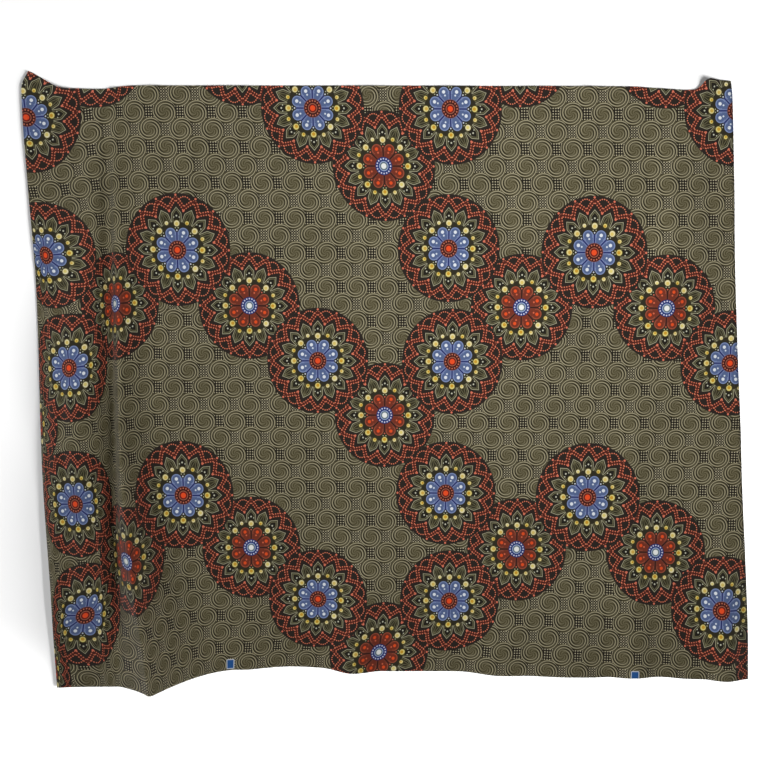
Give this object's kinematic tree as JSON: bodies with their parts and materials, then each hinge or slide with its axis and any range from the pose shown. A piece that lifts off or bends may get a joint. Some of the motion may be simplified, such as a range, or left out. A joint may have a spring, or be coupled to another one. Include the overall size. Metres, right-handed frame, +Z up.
{
  "type": "sarong",
  "caption": "Printed cotton sarong laid out face up, with one tall soft fold near its left edge and low ripples at the hem.",
  "frame": {"origin": "bottom centre of the bounding box, on the surface that the cloth lies on", "axes": "+X along the hem towards the end away from the tall fold, +Y up the cloth from the hem to the top selvedge, +Z up from the surface, out of the printed face"},
  "size_m": [1.4314, 1.214, 0.096],
  "materials": {
    "printed_cotton": "matt plain-weave cotton printed olive with whorls and a chain of blue and red rosettes"
  },
  "bodies": {
    "root": {"sarong_panel": "printed_cotton"}
  },
  "joints": []
}
